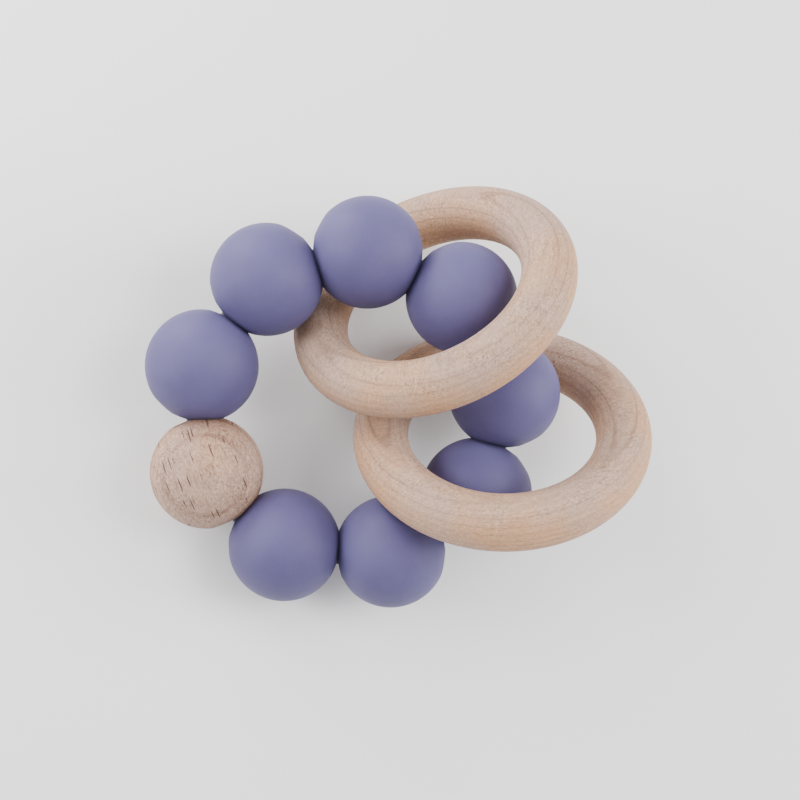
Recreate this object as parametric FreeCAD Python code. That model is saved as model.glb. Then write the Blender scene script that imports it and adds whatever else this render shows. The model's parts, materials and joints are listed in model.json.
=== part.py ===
import FreeCAD, Part
import math
import os

os.makedirs("parts", exist_ok=True)

# Teething ring: nine beads on a closed cord, two wooden rings threaded over the loop.
# Millimetres and degrees. The loop is laid out flat, then leant onto its three resting points.

V = FreeCAD.Vector
Z = V(0, 0, 1)

# ---- beads and loop ----
BEADS = 9
WOOD = 7                 # index of the beech bead, the other eight are silicone
BEAD_R = 7.5
LOOP_R = 20.47           # loop centre to bead centre
# the hard bead pushes the corners beside it outwards, and the next ones come in
CORNER_SHIFT = {WOOD - 2: -0.3, WOOD - 1: 0.9, WOOD: 0.9, WOOD + 1: -0.5}
FIRST_CORNER = 104.4     # direction of the corner after bead 0
BEAD_GAP = 0.2           # between neighbouring beads
BORE_R = 1.2
WOOD_BORE_R = 1.3
SINK_R = 2.6             # countersink at the wooden bead's knot end
SINK_TOP = 7.3
SINK_DEPTH = 2.8
FAR_CHAMFER = 1.2        # at the wooden bead's other end
FAR_CHAMFER_FROM_POLE = 1.1
EDGE_ROUND = 0.6

# ---- cord ----
CORD_R = 0.75
CORD_BEND_R = 5.0
KNOT_R = 1.45
KNOT_FROM_CENTRE = 5.2

# ---- wooden rings ----
RING_R = 16.3            # centre circle
RING_SECTION_R = 3.7
# centre in the flat loop's axes, tilt out of the loop's plane, heading of the tilt axis
UPPER = (V(10.84, 14.38, -0.85), 52.06, 30.48)
LOWER = (V(20.06, -3.79, 0.25), 49.86, 5.31)

# ---- lean of the whole loop as it rests on two rings and one bead ----
LEAN = 13.31
LEAN_HEADING = 59.48     # direction the loop's upper face leans from

TURN = 360.0 / BEADS     # from one bead to the next


def direction(angle):
    return V(math.cos(math.radians(angle)), math.sin(math.radians(angle)), 0)


def corner(k):
    # corner of the cord's polygon between bead k and bead k + 1
    k = k % BEADS
    r = LOOP_R / math.cos(math.radians(TURN / 2)) + CORNER_SHIFT.get(k, 0)
    return direction(FIRST_CORNER - TURN * k) * r


def bead_centre(k):
    return (corner(k - 1) + corner(k)) * 0.5


def bead_axis(k):
    return (corner(k) - corner(k - 1)).normalize()


def half_turn(k):
    # half the angle that the cord turns through at a corner
    return bead_axis(k).getAngle(bead_axis(k + 1)) / 2


def lean():
    axis = direction(LEAN_HEADING - 90)
    return FreeCAD.Rotation(axis, LEAN)


def ring_normal(tilt, heading):
    u = direction(heading)
    side = direction(heading - 90)
    v = side * math.cos(math.radians(tilt)) + Z * math.sin(math.radians(tilt))
    return u.cross(v)


def reach(centre, normal, way):
    # furthest a wooden ring gets along a direction
    c = normal.dot(way)
    return centre.dot(way) + RING_R * math.sqrt(1 - c * c) + RING_SECTION_R


def row_placement():
    # leans the loop, then sets the middle of its bottom at the origin
    turn = lean()
    beads = [turn.multVec(bead_centre(k)) for k in range(BEADS)]
    rings = [(turn.multVec(c), turn.multVec(ring_normal(t, h))) for c, t, h in (UPPER, LOWER)]
    shift = []
    for way in (V(1, 0, 0), V(0, 1, 0), V(0, 0, 1)):
        high = max([b.dot(way) + BEAD_R for b in beads] + [reach(c, n, way) for c, n in rings])
        low = max([BEAD_R - b.dot(way) for b in beads] + [reach(c, n, way * -1) for c, n in rings])
        shift.append((low, (low - high) / 2))
    return FreeCAD.Placement(V(shift[0][1], shift[1][1], shift[2][0]), turn)


ROW = row_placement()


def put(shape, name):
    shape.Placement = ROW.multiply(shape.Placement)
    shape.exportStep("parts/%s.step" % name)
    return shape


def revolve(edges):
    face = Part.Face(Part.Wire(edges))
    return face.revolve(V(0, 0, 0), Z, 360)


def along(shape, centre, axis):
    shape.Placement = FreeCAD.Placement(centre, FreeCAD.Rotation(Z, axis))
    return shape


def end_cut(k, corner_index):
    # apex height and slope of the cone that a squashed end keeps inside as the bead spins
    h = (corner(k) - corner(k - 1)).Length / 2
    turn = half_turn(corner_index)
    other = corner_index + 1 if corner_index == k else corner_index
    clear = BEAD_GAP / 2
    if other % BEADS == WOOD:
        reach_wood = (corner(WOOD) - corner(WOOD - 1)).Length / 2 * math.cos(turn)
        clear = BEAD_R - reach_wood + BEAD_GAP
    return h - clear / math.cos(turn), math.tan(turn)


def meet(apex, slope):
    # radius and height where the end cone meets the ball
    q = 1 + slope * slope
    root = math.sqrt(apex * apex * slope * slope - q * (apex * apex - BEAD_R * BEAD_R))
    r = (apex * slope + root) / q
    return r, apex - slope * r


def silicone_bead(k):
    top, top_slope = end_cut(k, k)
    low, low_slope = end_cut(k, k - 1)
    r1, z1 = meet(top, top_slope)
    r0, z0 = meet(low, low_slope)
    a = V(BORE_R, 0, -(low - low_slope * BORE_R))
    b = V(r0, 0, -z0)
    c = V(r1, 0, z1)
    d = V(BORE_R, 0, top - top_slope * BORE_R)
    edges = [
        Part.LineSegment(a, b).toShape(),
        Part.Arc(b, V(BEAD_R, 0, 0), c).toShape(),
        Part.LineSegment(c, d).toShape(),
        Part.LineSegment(d, a).toShape(),
    ]
    bead = revolve(edges)
    # the two wide circles where the ball meets its end cones are rounded, the bore's are not
    circles = [e for e in bead.Edges if isinstance(e.Curve, Part.Circle) and len(e.Vertexes) == 1]
    rims = [e for e in circles if e.Curve.Radius > 2 * BORE_R]
    bead = bead.makeFillet(EDGE_ROUND, rims)
    return along(bead, bead_centre(k), bead_axis(k))


def wood_bead():
    bead = Part.makeSphere(BEAD_R)
    bead = bead.cut(Part.makeCylinder(WOOD_BORE_R, 4 * BEAD_R, V(0, 0, -2 * BEAD_R)))
    mouth = Part.makeCone(WOOD_BORE_R, SINK_R, SINK_DEPTH, V(0, 0, SINK_TOP - SINK_DEPTH))
    lip = Part.makeCylinder(SINK_R, BEAD_R, V(0, 0, SINK_TOP))
    bead = bead.cut(mouth.fuse(lip))
    far_base = V(0, 0, BEAD_R - FAR_CHAMFER_FROM_POLE)
    far = Part.makeCone(WOOD_BORE_R, WOOD_BORE_R + FAR_CHAMFER, FAR_CHAMFER, far_base)
    far.rotate(V(0, 0, 0), V(1, 0, 0), 180)
    bead = bead.cut(far)
    return along(bead, bead_centre(WOOD), bead_axis(WOOD) * -1)


def cord_bend(k):
    # arc of the cord round one corner
    turn = math.degrees(2 * half_turn(k))
    back = CORD_BEND_R * math.tan(half_turn(k))
    start = corner(k) - bead_axis(k) * back
    inward = bead_axis(k).cross(Z)
    centre = start + inward * CORD_BEND_R
    disc = Part.Face(Part.Wire(Part.makeCircle(CORD_R, start, bead_axis(k))))
    return disc.revolve(centre, Z, -turn)


def cord_run(k):
    # straight length of cord through one bead
    a = corner(k - 1) + bead_axis(k) * CORD_BEND_R * math.tan(half_turn(k - 1))
    b = corner(k) - bead_axis(k) * CORD_BEND_R * math.tan(half_turn(k))
    return Part.makeCylinder(CORD_R, (b - a).Length, a, bead_axis(k))


def cord():
    pieces = []
    for k in range(BEADS):
        pieces.append(cord_run(k))
        pieces.append(cord_bend(k))
    knot = Part.makeSphere(KNOT_R, bead_centre(WOOD) - bead_axis(WOOD) * KNOT_FROM_CENTRE)
    return pieces[0].multiFuse(pieces[1:] + [knot]).removeSplitter()


def wooden_ring(centre, tilt, heading):
    return along(Part.makeTorus(RING_R, RING_SECTION_R), centre, ring_normal(tilt, heading))


number = 0
for k in range(BEADS):
    if k == WOOD:
        continue
    number += 1
    put(silicone_bead(k), "silicone_bead_%d" % number)
put(wood_bead(), "wood_bead")
put(cord(), "cord")
put(wooden_ring(*UPPER), "upper_ring")
put(wooden_ring(*LOWER), "lower_ring")
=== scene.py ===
import json
import math
import bpy
import numpy as np
from mathutils import Matrix, Vector


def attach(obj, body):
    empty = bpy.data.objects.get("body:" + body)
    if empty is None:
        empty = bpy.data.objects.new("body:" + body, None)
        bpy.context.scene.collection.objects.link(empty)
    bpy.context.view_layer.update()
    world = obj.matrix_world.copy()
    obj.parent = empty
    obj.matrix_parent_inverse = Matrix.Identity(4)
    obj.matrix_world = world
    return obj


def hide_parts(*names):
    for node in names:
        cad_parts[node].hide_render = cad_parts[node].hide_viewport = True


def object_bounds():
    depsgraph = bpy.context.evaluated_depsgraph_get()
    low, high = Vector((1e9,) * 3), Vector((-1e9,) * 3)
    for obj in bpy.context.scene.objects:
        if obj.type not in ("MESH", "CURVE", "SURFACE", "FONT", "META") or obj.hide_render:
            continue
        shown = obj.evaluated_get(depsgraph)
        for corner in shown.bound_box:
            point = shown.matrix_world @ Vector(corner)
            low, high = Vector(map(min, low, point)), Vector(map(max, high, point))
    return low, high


# A teething ring as it lies on a table: eight silicone beads and a beech bead on a closed cord,
# with two maple rings threaded over the loop.

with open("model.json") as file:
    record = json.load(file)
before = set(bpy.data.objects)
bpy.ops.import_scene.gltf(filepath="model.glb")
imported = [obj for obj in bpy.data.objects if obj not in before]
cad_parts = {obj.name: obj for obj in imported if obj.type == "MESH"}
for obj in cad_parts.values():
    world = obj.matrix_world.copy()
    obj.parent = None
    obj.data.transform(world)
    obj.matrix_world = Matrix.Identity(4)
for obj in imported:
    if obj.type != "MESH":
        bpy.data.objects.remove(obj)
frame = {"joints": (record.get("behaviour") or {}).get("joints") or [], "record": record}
CAD_LO, CAD_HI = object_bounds()
RECORD = frame["record"]
MM = 0.001

# ---------------------------------------------------------------- sizes, mm
BEAD_R = 7.5
BORE_R = 1.2
PRESS = 0.45            # how far a soft bead's end reaches past the meeting of the two bores
WOOD_PRESS = 0.55       # the same where the neighbour is the hard bead
END_SOFTNESS = 0.4      # rounding between the ball and its pressed end
MOUTH_ROUND = 0.3       # radius of the bore's lip
SEAM_HEIGHT = 0.022     # moulding line round the middle
SEAM_WIDTH = 0.06
WOOD_BORE_R = 1.3
SINK_EDGE_R = 2.72      # where the countersink's lip meets the ball
CHAMFER_EDGE_R = 2.0    # where the far chamfer meets it
RING_R = 16.3
RING_SECTION_R = 3.7

# ---- cord ----
CORD_R = 0.6
CORD_BEND_R = 14.0
BRAID_DEPTH = 0.05
BRAID_PITCH = 2.4
BRAID_STRANDS = 4       # in each of the two directions
CORD_SIDES = 20
BEND_STEPS = 16
RUN_STEPS = 56

# ---- knot ----
KNOT_FROM_CENTRE = 5.2  # of the wooden bead
KNOT_LENGTH = 1.5
WRAPS = 3
WRAP_STEPS = 96
WRAP_R = 1.06
WRAP_TAPER = 0.25
STRAND_R = 0.36
STRAND_SIDES = 10

JOINTS = {j["name"]: j for j in frame["joints"]}
MOUNTS = {m["name"]: m for m in RECORD["mounts"]}
BEADS = ["silicone_bead_%d" % i for i in range(1, 9)]


def vec(v):
    return Vector([float(x) for x in v])


def local_frame(centre, axis, hint):
    # z along axis, x as near to hint as it can be
    z = axis.normalized()
    x = (hint - z * hint.dot(z)).normalized()
    y = z.cross(x)
    m = Matrix((x, y, z)).transposed().to_4x4()
    m.translation = centre
    return m


# ---------------------------------------------------------------- meshes
def add_mesh(name, verts, faces, matrix, body, material, nodes):
    mesh = bpy.data.meshes.new(name)
    mesh.from_pydata([tuple(v) for v in verts], [], [tuple(f) for f in faces])
    mesh.polygons.foreach_set("use_smooth", [True] * len(mesh.polygons))
    mesh.materials.append(material)
    mesh.update()
    obj = bpy.data.objects.new(name, mesh)
    bpy.context.scene.collection.objects.link(obj)
    obj.matrix_world = matrix
    bpy.context.view_layer.update()
    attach(obj, body)
    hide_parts(*nodes)
    return obj


def grid_faces(rows, cols, close_rows=True):
    # the columns always close
    faces = []
    for i in range(rows if close_rows else rows - 1):
        for c in range(cols):
            a, b, d = i, (i + 1) % rows, (c + 1) % cols
            faces.append((a * cols + c, b * cols + c, b * cols + d, a * cols + d))
    return faces


def revolve(profile, segments):
    # closed profile of (radius, height) in mm, turned about z
    p = np.array(profile) * MM
    t = np.linspace(0, 2 * math.pi, segments, endpoint=False)
    verts = np.stack([
        np.outer(p[:, 0], np.cos(t)),
        np.outer(p[:, 0], np.sin(t)),
        np.outer(p[:, 1], np.ones(segments)),
    ], axis=-1).reshape(-1, 3)
    return verts, grid_faces(len(p), segments)


def soft_min(a, b, k):
    h = np.clip(0.5 + 0.5 * (b - a) / k, 0, 1)
    return b * (1 - h) + a * h - k * h * (1 - h)


def lip(top, side, steps=7):
    # rounded mouth from the outer skin into the bore
    points = []
    for i in range(steps + 1):
        a = math.pi / 2 * i / steps
        r = BORE_R + MOUTH_ROUND * (1 - math.sin(a))
        points.append((r, side * (top - MOUTH_ROUND * (1 - math.cos(a)))))
    return points


def silicone_profile(reaches, slopes):
    # ball whose two ends (low, top) are pressed to blunt cones, one seam round its middle
    out = []
    for th in np.linspace(0.0, math.pi, 140):
        side = 1 if th <= math.pi / 2 else 0
        t = th if side else math.pi - th
        cone = reaches[side] / (math.cos(t) + slopes[side] * math.sin(t))
        r = soft_min(BEAD_R, cone, END_SOFTNESS)
        from_seam = (th - math.pi / 2) * BEAD_R
        r += SEAM_HEIGHT * math.exp(-(from_seam / SEAM_WIDTH) ** 2)
        out.append((r * math.sin(th), r * math.cos(th)))
    keep = [p for p in out if p[0] > BORE_R + MOUTH_ROUND + 0.04]
    top = keep[0][1] + 0.02
    low = -keep[-1][1] + 0.02
    bore = [(BORE_R, z) for z in np.linspace(-low + 0.5, top - 0.5, 12)]
    return lip(top, 1)[::-1] + keep + lip(low, -1) + bore


def wood_profile():
    # hard ball: countersunk at the knot's end (+z), a small chamfer at the other
    th = np.linspace(0, math.pi, 150)
    ball = [(BEAD_R * math.sin(t), BEAD_R * math.cos(t)) for t in th]
    keep = [p for p in ball if p[0] > (SINK_EDGE_R if p[1] > 0 else CHAMFER_EDGE_R)]
    sink = [(WOOD_BORE_R, 4.5), (1.42, 4.78), (1.9, 5.82), (2.4, 6.86), (2.55, 7.0), (2.64, 7.02)]
    chamfer = [(1.95, -7.24), (1.85, -7.2), (1.4, -6.76), (WOOD_BORE_R, -6.5)]
    bore = [(WOOD_BORE_R, z) for z in np.linspace(-6.2, 4.2, 14)]
    return sink + keep + chamfer + bore


def torus(major, minor, around, section):
    t = np.linspace(0, 2 * math.pi, around, endpoint=False)[:, None]
    s = np.linspace(0, 2 * math.pi, section, endpoint=False)[None]
    r = (major + minor * np.cos(s)) * MM
    z = minor * MM * np.sin(s) * np.ones_like(t)
    verts = np.stack([r * np.cos(t), r * np.sin(t), z], -1)
    return verts.reshape(-1, 3), grid_faces(around, section)


# ---------------------------------------------------------------- shader helpers
class Shader:
    def __init__(self, name):
        self.mat = bpy.data.materials.new(name)
        self.mat.use_nodes = True
        self.nt = self.mat.node_tree
        self.nt.nodes.clear()
        out = self.nt.nodes.new("ShaderNodeOutputMaterial")
        self.bsdf = self.nt.nodes.new("ShaderNodeBsdfPrincipled")
        self.nt.links.new(self.bsdf.outputs[0], out.inputs[0])
        where = self.node("TexCoord", out="Object")
        self.mm = self.vector("MULTIPLY", where, (1000, 1000, 1000))

    def node(self, kind, inputs=None, out=0, **props):
        n = self.nt.nodes.new("ShaderNode" + kind)
        for k, v in props.items():
            setattr(n, k, v)
        for k, v in (inputs or {}).items():
            if isinstance(v, bpy.types.NodeSocket):
                self.nt.links.new(v, n.inputs[k])
            else:
                n.inputs[k].default_value = v
        return n.outputs[out]

    def math(self, op, a, b=0.0):
        return self.node("Math", {0: a, 1: b}, operation=op)

    def mul(self, a, b):
        return self.math("MULTIPLY", a, b)

    def add(self, a, b):
        return self.math("ADD", a, b)

    def sub(self, a, b):
        return self.math("SUBTRACT", a, b)

    def vector(self, op, a, b=(0, 0, 0), out=0):
        return self.node("VectorMath", {0: a, 1: b}, out, operation=op)

    def dot(self, a, b):
        return self.vector("DOT_PRODUCT", a, b, out=1)

    def shifted(self, seed, way):
        # mm coordinates moved, so that no two pieces share a pattern
        return self.vector("ADD", self.mm, [seed * w for w in way])

    def noise(self, vector, scale, detail=3.0, rough=0.5):
        inputs = {"Vector": vector, "Scale": scale, "Detail": detail, "Roughness": rough}
        return self.node("TexNoise", inputs)

    def ramp(self, value, low, high, to_low=0.0, to_high=1.0):
        inputs = {0: value, 1: low, 2: high, 3: to_low, 4: to_high}
        return self.node("MapRange", inputs, clamp=True)

    def mix(self, fac, a, b):
        n = self.nt.nodes.new("ShaderNodeMix")
        n.data_type = "RGBA"
        n.clamp_factor = True
        for k, v in ((0, fac), (6, a), (7, b)):
            if isinstance(v, bpy.types.NodeSocket):
                self.nt.links.new(v, n.inputs[k])
            else:
                n.inputs[k].default_value = v if k == 0 else (*v, 1.0)
        return n.outputs[2]

    def bump(self, height, distance, strength):
        return self.node("Bump", {"Height": height, "Distance": distance, "Strength": strength})

    def crease_shade(self, colour, reach, shade_tone, amount):
        # painted shade: colour is pulled towards a dark tone wherever ambient occlusion finds little
        # open sky, in creases, at contacts between parts and against the floor
        open_sky = self.node("AmbientOcclusion", {"Distance": reach}, out=1, samples=6)
        return self.mix(self.ramp(open_sky, 0.75, 0.15, 0.0, amount), colour, shade_tone)

    def link(self, socket, value):
        self.nt.links.new(value, self.bsdf.inputs[socket])

    def const(self, **values):
        for k, v in values.items():
            self.bsdf.inputs[k.replace("_", " ")].default_value = v


# ---------------------------------------------------------------- materials
# tones in scene light: lavender silicone, then light, warm and dark tone of each timber
SILICONE = (0.082, 0.070, 0.174)
SILICONE_CLOUD = (0.091, 0.079, 0.191)
SILICONE_GRAIN = (0.101, 0.088, 0.205)
# painted shade colour for the silicone's creases and contacts
SILICONE_CREASE_SHADE = (0.02, 0.018, 0.05)
LINT = (0.20, 0.20, 0.30)
BEECH = ((0.46, 0.297, 0.224), (0.50, 0.286, 0.175), (0.13, 0.06, 0.037))
# tone of the beech's rays, also used for the painted shade in the drilled mouth
BEECH_FLECK_AND_MOUTH_SHADE = (0.06, 0.025, 0.018)
MAPLE = ((0.47, 0.315, 0.24), (0.55, 0.31, 0.17), (0.17, 0.09, 0.055))
WOOD_PALE = (0.70, 0.55, 0.47)
WOOD_DUST = (0.68, 0.51, 0.41)

# how fine each pattern in the wood is, features per mm
DRIFT, BEND, PATCH, CROWD = 0.085, 0.045, 0.16, 0.22
RIPPLE, FIBRE, PORE, SPECK, GRIT = 0.8, 2.2, 2.3, 3.3, 5.2


def silicone(name, seed):
    s = Shader(name)
    at = s.shifted(seed, (13.1, 7.7, 3.3))
    cloud = s.noise(at, 0.22, 2.0)
    grain = s.noise(at, 5.5, 3.0, 0.6)
    cells = {"Vector": at, "Scale": 0.55, "Randomness": 1.0}
    lint = s.node("TexVoronoi", cells, out="Distance")
    base = s.mix(s.ramp(cloud, 0.35, 0.65), SILICONE, SILICONE_CLOUD)
    base = s.mix(s.ramp(grain, 0.42, 0.62, 0.0, 0.35), base, SILICONE_GRAIN)
    base = s.mix(s.ramp(lint, 0.05, 0.02, 0.0, 0.30), base, LINT)
    # painted shade: the lavender is darkened in the contact creases between beads, from ambient
    # occlusion
    s.link("Base Color", s.crease_shade(base, 0.0012, SILICONE_CREASE_SHADE, 0.6))
    s.link("Roughness", s.ramp(grain, 0.3, 0.7, 0.52, 0.64))
    s.link("Normal", s.bump(grain, 0.00004, 0.5))
    s.const(Sheen_Weight=0.02, Sheen_Roughness=0.6, Specular_IOR_Level=0.25)
    s.const(Subsurface_Weight=0.06, Subsurface_Scale=0.0008, Subsurface_Radius=(0.8, 0.7, 1.0))
    return s.mat


def beech_fleck(s, grain):
    # beech's short dark rays: plates along the fibre and through the layers, thin across
    cell = s.node("TexVoronoi", {"Scale": 1.0, "Vector": grain(0.36, 4.4, 0.22)}, out="Distance")
    colour = cell.node.outputs["Color"]
    size = s.ramp(s.node("SeparateXYZ", {0: colour}), 0.72, 1.0, 0.04, 0.44)
    return s.ramp(s.sub(size, cell), 0.0, 0.12)


def drilled_mouth_shade(s):
    # painted shade: the countersink at the knot's end is darkened, standing in for the shade inside
    # the drilled mouth as well as the end grain's darker tone
    off_axis = s.vector("LENGTH", s.vector("MULTIPLY", s.mm, (1, 1, 0)), out=1)
    up_axis = s.node("SeparateXYZ", {0: s.mm}, out=2)
    return s.mul(s.ramp(off_axis, 2.78, 2.58), s.ramp(up_axis, 3.0, 4.0))


def wood(name, fibre, layer, tones, growth, face, speckle, strands, grit, seed, fleck_and_mouth_shade=None):
    # fibre: way the grain runs; layer: way through the growth layers; in the piece's own axes
    # growth: spacing of the layers, depth of one of them, how far they wander, strength
    # face: depths between which the smooth flank turns into the lined, specked face; the flank's
    # warmer tone is partly painted warm light
    # speckle, strands: strength of the specks and of the fibres; grit: of the sanded dots, dark
    # and light; fleck_and_mouth_shade: tone of the rays and of the painted shade in the drilled
    # mouth, on the beech bead alone
    light, warm, dark = tones
    pitch, first, wander, lines = growth
    s = Shader(name)
    f, h = Vector(fibre).normalized(), Vector(layer)
    h = (h - f * h.dot(f)).normalized()
    at = s.shifted(seed, (11.3, 5.9, 8.1))
    ways = [s.dot(at, way) for way in (f, h.cross(f), h)]
    through = s.dot(s.mm, h)

    def grain(*scales):
        # coordinates along the fibre, across it and through the layers, each with its scale
        return s.node("CombineXYZ", {i: s.mul(ways[i], scales[i]) for i in range(3)})

    # growth layers
    bend = s.sub(s.noise(at, BEND, 2.0, 0.4), 0.5)
    ripple = s.sub(s.noise(at, RIPPLE, 2.0), 0.5)
    depth = s.add(s.add(through, s.mul(bend, wander)), s.mul(ripple, 0.16))
    turn = s.mul(s.sub(depth, first), 2 * math.pi / pitch)
    wave = s.math("COSINE", turn)
    fine = s.math("COSINE", s.mul(turn, 3.0))
    # where the lines and specks are strong
    crest = s.ramp(s.math("ABSOLUTE", through), *face)
    crowd = s.ramp(s.noise(at, CROWD, 2.0), 0.42, 0.62, 0.25, 1.0)
    crowd = s.mul(crowd, s.ramp(crest, 0.0, 1.0, 0.35, 1.0))
    strength = s.ramp(s.noise(at, PATCH, 2.0), 0.36, 0.60, 0.25, 1.0)
    strength = s.mul(strength, s.ramp(crest, 0.0, 1.0, 0.22, 1.0))
    thin = s.mul(s.ramp(wave, 0.72, 1.0), strength)
    # textures
    fibres = s.noise(grain(0.16, 1.0, 1.0), FIBRE, 4.0, 0.62)
    pores = s.noise(grain(0.5, 1.5, 1.5), PORE, 1.5, 0.5)
    speck = s.noise(at, SPECK, 1.5, 0.5)
    dots = s.noise(grain(0.4, 1.0, 1.0), GRIT, 1.0, 0.5)

    # painted light, in part: the flanks are pushed towards the warm tone and the face towards the
    # light one, standing in for the warm light the flanks catch, on top of the wood's random drift in
    # tone
    blush = s.ramp(s.noise(at, DRIFT, 2.0), 0.40, 0.60, 0.35, 1.25)
    base = s.mix(s.sub(blush, s.mul(crest, 0.55)), light, warm)
    base = s.mix(s.ramp(wave, -0.6, 0.9, 0.0, 0.12), base, dark)
    base = s.mix(s.ramp(fine, 0.0, 1.0, 0.0, 0.16), base, dark)
    base = s.mix(s.ramp(fibres, 0.42, 0.72, 0.0, strands), base, dark)
    base = s.mix(s.mul(s.ramp(speck, 0.54, 0.66, 0.0, speckle), crowd), base, dark)
    base = s.mix(s.mul(s.ramp(pores, 0.58, 0.68, 0.0, speckle), crowd), base, dark)
    base = s.mix(s.mul(s.ramp(speck, 0.44, 0.34, 0.0, 0.30), crowd), base, WOOD_PALE)
    base = s.mix(s.mul(thin, lines), base, dark)
    base = s.mix(s.ramp(dots, 0.47, 0.62, 0.0, grit[0]), base, dark)
    base = s.mix(s.ramp(dots, 0.50, 0.36, 0.0, grit[1]), base, WOOD_DUST)
    height = s.add(s.mul(pores, -0.5), s.mul(speck, -0.5))
    height = s.sub(height, s.mul(thin, 0.12))
    if fleck_and_mouth_shade:
        mark = beech_fleck(s, grain)
        base = s.mix(s.mul(mark, 0.92), base, fleck_and_mouth_shade)
        # painted shade: the countersink is darkened with the ray tone, standing in for the shade in
        # the drilled mouth as well as darker end grain
        base = s.mix(s.mul(drilled_mouth_shade(s), 0.8), base, fleck_and_mouth_shade)
        height = s.sub(height, s.mul(mark, 0.9))
    # painted shade: the wood is darkened towards its dark tone in creases and contacts, from ambient
    # occlusion
    s.link("Base Color", s.crease_shade(base, 0.003, dark, 0.4))
    s.link("Roughness", s.ramp(fibres, 0.3, 0.7, 0.58, 0.72))
    s.link("Normal", s.bump(height, 0.00016, 0.8))
    s.const(Specular_IOR_Level=0.25, Subsurface_Weight=0.04, Subsurface_Scale=0.0005)
    return s.mat


def ring_wood(name, fibre, layer, growth, seed):
    return wood(
        name, fibre=fibre, layer=layer, tones=MAPLE, growth=growth,
        face=(0.8, 3.0), speckle=0.5, strands=0.30, grit=(0.15, 0.12), seed=seed,
    )


def bead_wood():
    # its face range lies below every depth, so it is face all over
    return wood(
        "bead_beech", fibre=(0, 0.06, 1), layer=(1, 0, 0), tones=BEECH,
        growth=(3.4, 5.2, 1.6, 0.42), face=(-2, -1), speckle=0.5, strands=0.42,
        grit=(0.20, 0.16), seed=1.0, fleck_and_mouth_shade=BEECH_FLECK_AND_MOUTH_SHADE,
    )


def cord_material():
    s = Shader("cord_nylon_painted_shade")
    fuzz = s.noise(s.mm, 9.0, 3.0, 0.6)
    # painted shade: the cord is coloured a dark navy, far darker than its own light lavender-grey
    # nylon, so that where it shows between the beads it reads as shaded
    s.link("Base Color", s.mix(s.ramp(fuzz, 0.35, 0.7), (0.05, 0.045, 0.075), (0.10, 0.09, 0.14)))
    s.link("Roughness", s.ramp(fuzz, 0.3, 0.7, 0.45, 0.65))
    s.link("Normal", s.bump(fuzz, 0.00005, 0.6))
    return s.mat


def floor_material():
    s = Shader("pale_floor")
    cloud = s.noise(s.mm, 0.05, 2.0)
    s.link("Base Color", s.mix(cloud, (0.84, 0.84, 0.845), (0.86, 0.86, 0.862)))
    s.const(Roughness=0.9, Emission_Strength=0.05, Emission_Color=(1.0, 1.0, 1.0, 1.0))
    return s.mat


# ---------------------------------------------------------------- loop
CENTRES = {b: vec(JOINTS[b + "_spin"]["pos_m"]) for b in BEADS}
AXES = {b: vec(JOINTS[b + "_spin"]["axis"]).normalized() for b in BEADS}
CENTRES["wood_bead"] = vec(MOUNTS["bead_loop_section"]["pos_m"])
AXES["wood_bead"] = vec(MOUNTS["bead_loop_section"]["axis"]).normalized()
ORDER = BEADS[:7] + ["wood_bead"] + BEADS[7:]


def after(i):
    return ORDER[(i + 1) % len(ORDER)]


def loop_up():
    total = Vector((0, 0, 0))
    for i, a in enumerate(ORDER):
        total += AXES[after(i)].cross(AXES[a])
    return total.normalized()


def corner(a, b):
    # where two neighbouring bores meet
    p, u, q, v = CENTRES[a], AXES[a], CENTRES[b], AXES[b]
    n = u.cross(v)
    return p + u * ((q - p).cross(v).dot(n) / n.length_squared)


def half_turn(a, b):
    return AXES[a].angle(AXES[b]) / 2


LOOP_UP = loop_up()
CORNERS = [corner(a, after(i)) for i, a in enumerate(ORDER)]


def pressed_end(name, other, meeting):
    # reach along the bore and slope of the blunt cone that faces a neighbour
    press = WOOD_PRESS if other == "wood_bead" else PRESS
    reach = (meeting - CENTRES[name]).length / MM + press
    return reach, math.tan(half_turn(name, other))


def make_silicone_bead(number, name):
    i = ORDER.index(name)
    low = pressed_end(name, ORDER[i - 1], CORNERS[i - 1])
    top = pressed_end(name, after(i), CORNERS[i])
    verts, faces = revolve(silicone_profile(*zip(low, top)), 128)
    matrix = local_frame(CENTRES[name], AXES[name], LOOP_UP)
    mat = silicone("silicone_%d" % (number + 1), number)
    add_mesh(name + "_skin", verts, faces, matrix, name, mat, [name])


def make_wood_bead():
    verts, faces = revolve(wood_profile(), 160)
    matrix = local_frame(CENTRES["wood_bead"], -AXES["wood_bead"], LOOP_UP)
    mat = bead_wood()
    add_mesh("wood_bead_skin", verts, faces, matrix, "loop", mat, ["wood_bead"])


def make_ring(name, mat):
    centre = vec(JOINTS[name + "_tip"]["pos_m"])
    spot = MOUNTS[name + "_section"]
    out = (vec(spot["pos_m"]) - centre).normalized()
    normal = out.cross(vec(spot["axis"])).normalized()
    if normal.z < 0:
        normal = -normal
    matrix = local_frame(centre, normal, vec(JOINTS[name + "_tip"]["axis"]))
    verts, faces = torus(RING_R, RING_SECTION_R, 288, 72)
    add_mesh(name + "_turned", verts, faces, matrix, name, mat, [name])


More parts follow.
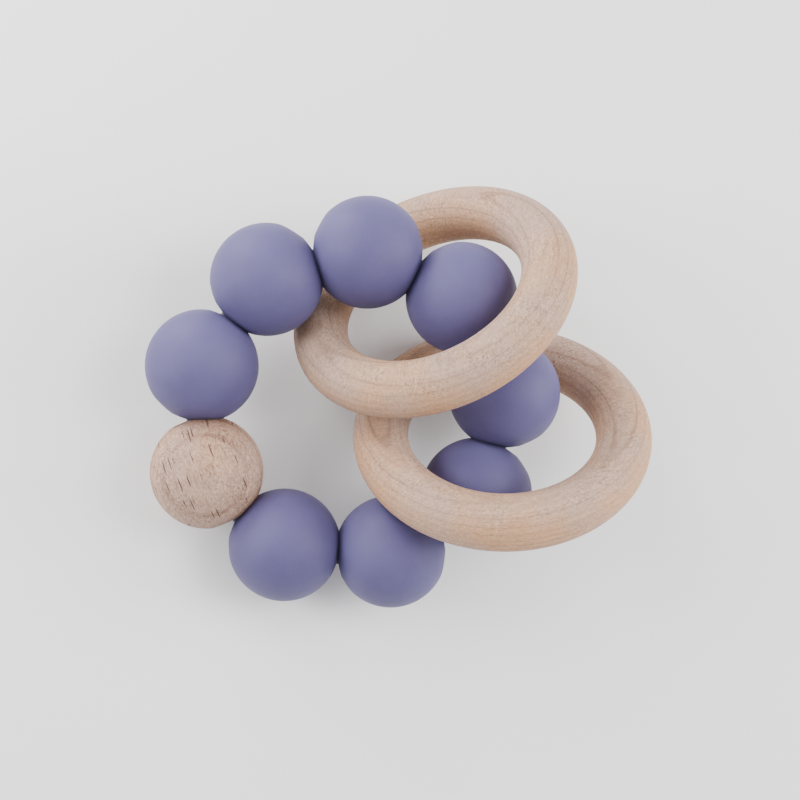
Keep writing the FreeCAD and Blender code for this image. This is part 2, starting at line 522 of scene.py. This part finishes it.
def cord_route():
    # straight through each bead, on an even bend between beads; every point in metres
    bend = CORD_BEND_R * MM
    points = []
    for i, a in enumerate(ORDER):
        b, c = after(i), after(i + 1)
        half = half_turn(a, b)
        inward = AXES[a].cross(LOOP_UP)
        if inward.dot(AXES[b]) < 0:
            inward = -inward
        centre = CORNERS[i] - AXES[a] * bend * math.tan(half) + inward * bend
        for k in range(BEND_STEPS + 1):
            t = 2 * half * k / BEND_STEPS
            points.append(centre + (AXES[a] * math.sin(t) - inward * math.cos(t)) * bend)
        run_from = CORNERS[i] + AXES[b] * bend * math.tan(half)
        run_to = CORNERS[(i + 1) % len(ORDER)] - AXES[b] * bend * math.tan(half_turn(b, c))
        points += [run_from.lerp(run_to, k / RUN_STEPS) for k in range(1, RUN_STEPS)]
    return points


def braided_tube(points):
    # the skin waves as two sets of crossing strands do
    count = len(points)
    steps = [(points[(i + 1) % count] - p).length / MM for i, p in enumerate(points)]
    length = sum(steps)
    turns = round(length / BRAID_PITCH)
    verts, run = [], 0.0
    for i, p in enumerate(points):
        ahead = (points[(i + 1) % count] - points[i - 1]).normalized()
        side = ahead.cross(LOOP_UP).normalized()
        phase = 2 * math.pi * turns * run / length
        for k in range(CORD_SIDES):
            t = 2 * math.pi * k / CORD_SIDES
            strands = BRAID_STRANDS * t
            braid = max(math.sin(strands + phase), math.sin(strands - phase))
            r = (CORD_R - BRAID_DEPTH + BRAID_DEPTH * braid) * MM
            verts.append(p + side * r * math.cos(t) + LOOP_UP * r * math.sin(t))
        run += steps[i]
    return verts, grid_faces(count, CORD_SIDES)


def knot_wraps():
    # one strand wound round the cord, in the wooden bead's countersink
    a = AXES["wood_bead"]
    side = a.cross(LOOP_UP)
    middle = CENTRES["wood_bead"] - a * KNOT_FROM_CENTRE * MM
    verts = []
    for i in range(WRAP_STEPS):
        f = i / (WRAP_STEPS - 1)
        t = 2 * math.pi * WRAPS * f
        arm = side * math.cos(t) + LOOP_UP * math.sin(t)
        level = a * (f - 0.5) * KNOT_LENGTH
        rise = WRAP_R - WRAP_TAPER * abs(2 * f - 1) ** 3
        for k in range(STRAND_SIDES):
            s = 2 * math.pi * k / STRAND_SIDES
            round_strand = arm * (rise + STRAND_R * math.cos(s)) + a * STRAND_R * math.sin(s)
            verts.append(middle + (level + round_strand) * MM)
    faces = grid_faces(WRAP_STEPS, STRAND_SIDES, close_rows=False)
    faces.append(tuple(range(STRAND_SIDES))[::-1])
    faces.append(tuple(range((WRAP_STEPS - 1) * STRAND_SIDES, WRAP_STEPS * STRAND_SIDES)))
    return verts, faces


def make_cord():
    points = cord_route()
    origin = sum(points, Vector()) / len(points)
    verts, faces = braided_tube(points)
    knot_verts, knot_faces = knot_wraps()
    faces += [tuple(len(verts) + k for k in face) for face in knot_faces]
    verts = [v - origin for v in verts + knot_verts]
    matrix = Matrix.Translation(origin)
    add_mesh("cord_braid", verts, faces, matrix, "loop", cord_material(), ["cord"])


for bead_number, bead_name in enumerate(BEADS):
    make_silicone_bead(bead_number, bead_name)
make_wood_bead()
make_ring("upper_ring", ring_wood(
    "ring_maple_upper", (0.6, 0.8, 0), (0.03, -0.05, 1), (0.95, 3.05, 0.22, 0.34), 3.0))
make_ring("lower_ring", ring_wood(
    "ring_maple_lower", (0.95, 0.3, 0), (-0.06, 0.04, 1), (0.85, 2.9, 0.22, 0.38), 7.0))
make_cord()

# ---------------------------------------------------------------- stage
FLOOR_HALF = 2.0
FLOOR_DROP = 0.0002     # keeps the floor's skin off the lowest piece

floor_mesh = bpy.data.meshes.new("floor")
floor_corners = [(x * FLOOR_HALF, y * FLOOR_HALF, 0) for x, y in ((-1, -1), (1, -1), (1, 1), (-1, 1))]
floor_mesh.from_pydata(floor_corners, [], [(0, 1, 2, 3)])
floor_mesh.materials.append(floor_material())
floor = bpy.data.objects.new("floor", floor_mesh)
bpy.context.scene.collection.objects.link(floor)
floor.location = (0, 0, CAD_LO.z - FLOOR_DROP)

world = bpy.data.worlds.new("studio")
bpy.context.scene.world = world
world.use_nodes = True
sky = world.node_tree.nodes["Background"]
sky.inputs["Color"].default_value = (1.0, 1.0, 1.0, 1.0)
sky.inputs["Strength"].default_value = 0.88


def softbox(name, at, size, power):
    # white rectangle that faces the object; size in metres, power in watts
    data = bpy.data.lights.new(name, "AREA")
    data.shape = "RECTANGLE"
    data.size, data.size_y = size
    data.energy = power
    obj = bpy.data.objects.new(name, data)
    bpy.context.scene.collection.objects.link(obj)
    obj.location = at
    obj.rotation_mode = "QUATERNION"
    obj.rotation_quaternion = Vector(at).to_track_quat("Z", "Y")


softbox("right", (0.40, 0.0, 0.22), (0.20, 0.20), 2.05)
softbox("right_high", (0.225, 0.02, 0.40), (0.20, 0.20), 1.15)
softbox("left", (-0.40, 0.04, 0.22), (0.20, 0.20), 1.63)
softbox("back", (-0.11, 0.12, 0.17), (0.10, 0.10), 0.15)
softbox("back_low", (-0.13, 0.16, 0.06), (0.10, 0.08), 0.42)

# ---------------------------------------------------------------- camera
EYE = Vector((-0.04151, -0.03438, 0.22517))
AIM = Vector((0.00035, -0.00153, 0.012))
PICTURE_UP = Vector((-0.0026, 0.9884, 0.1518))
backward = (EYE - AIM).normalized()
rightward = PICTURE_UP.cross(backward).normalized()
upward = backward.cross(rightward)
cam_data = bpy.data.cameras.new("camera")
cam_data.lens = 73.47
cam_data.sensor_width = 36.0
cam_data.clip_start = 0.01
cam = bpy.data.objects.new("camera", cam_data)
bpy.context.scene.collection.objects.link(cam)
cam_frame = Matrix((rightward, upward, backward)).transposed().to_4x4()
cam_frame.translation = EYE
cam.matrix_world = cam_frame
bpy.context.scene.camera = cam
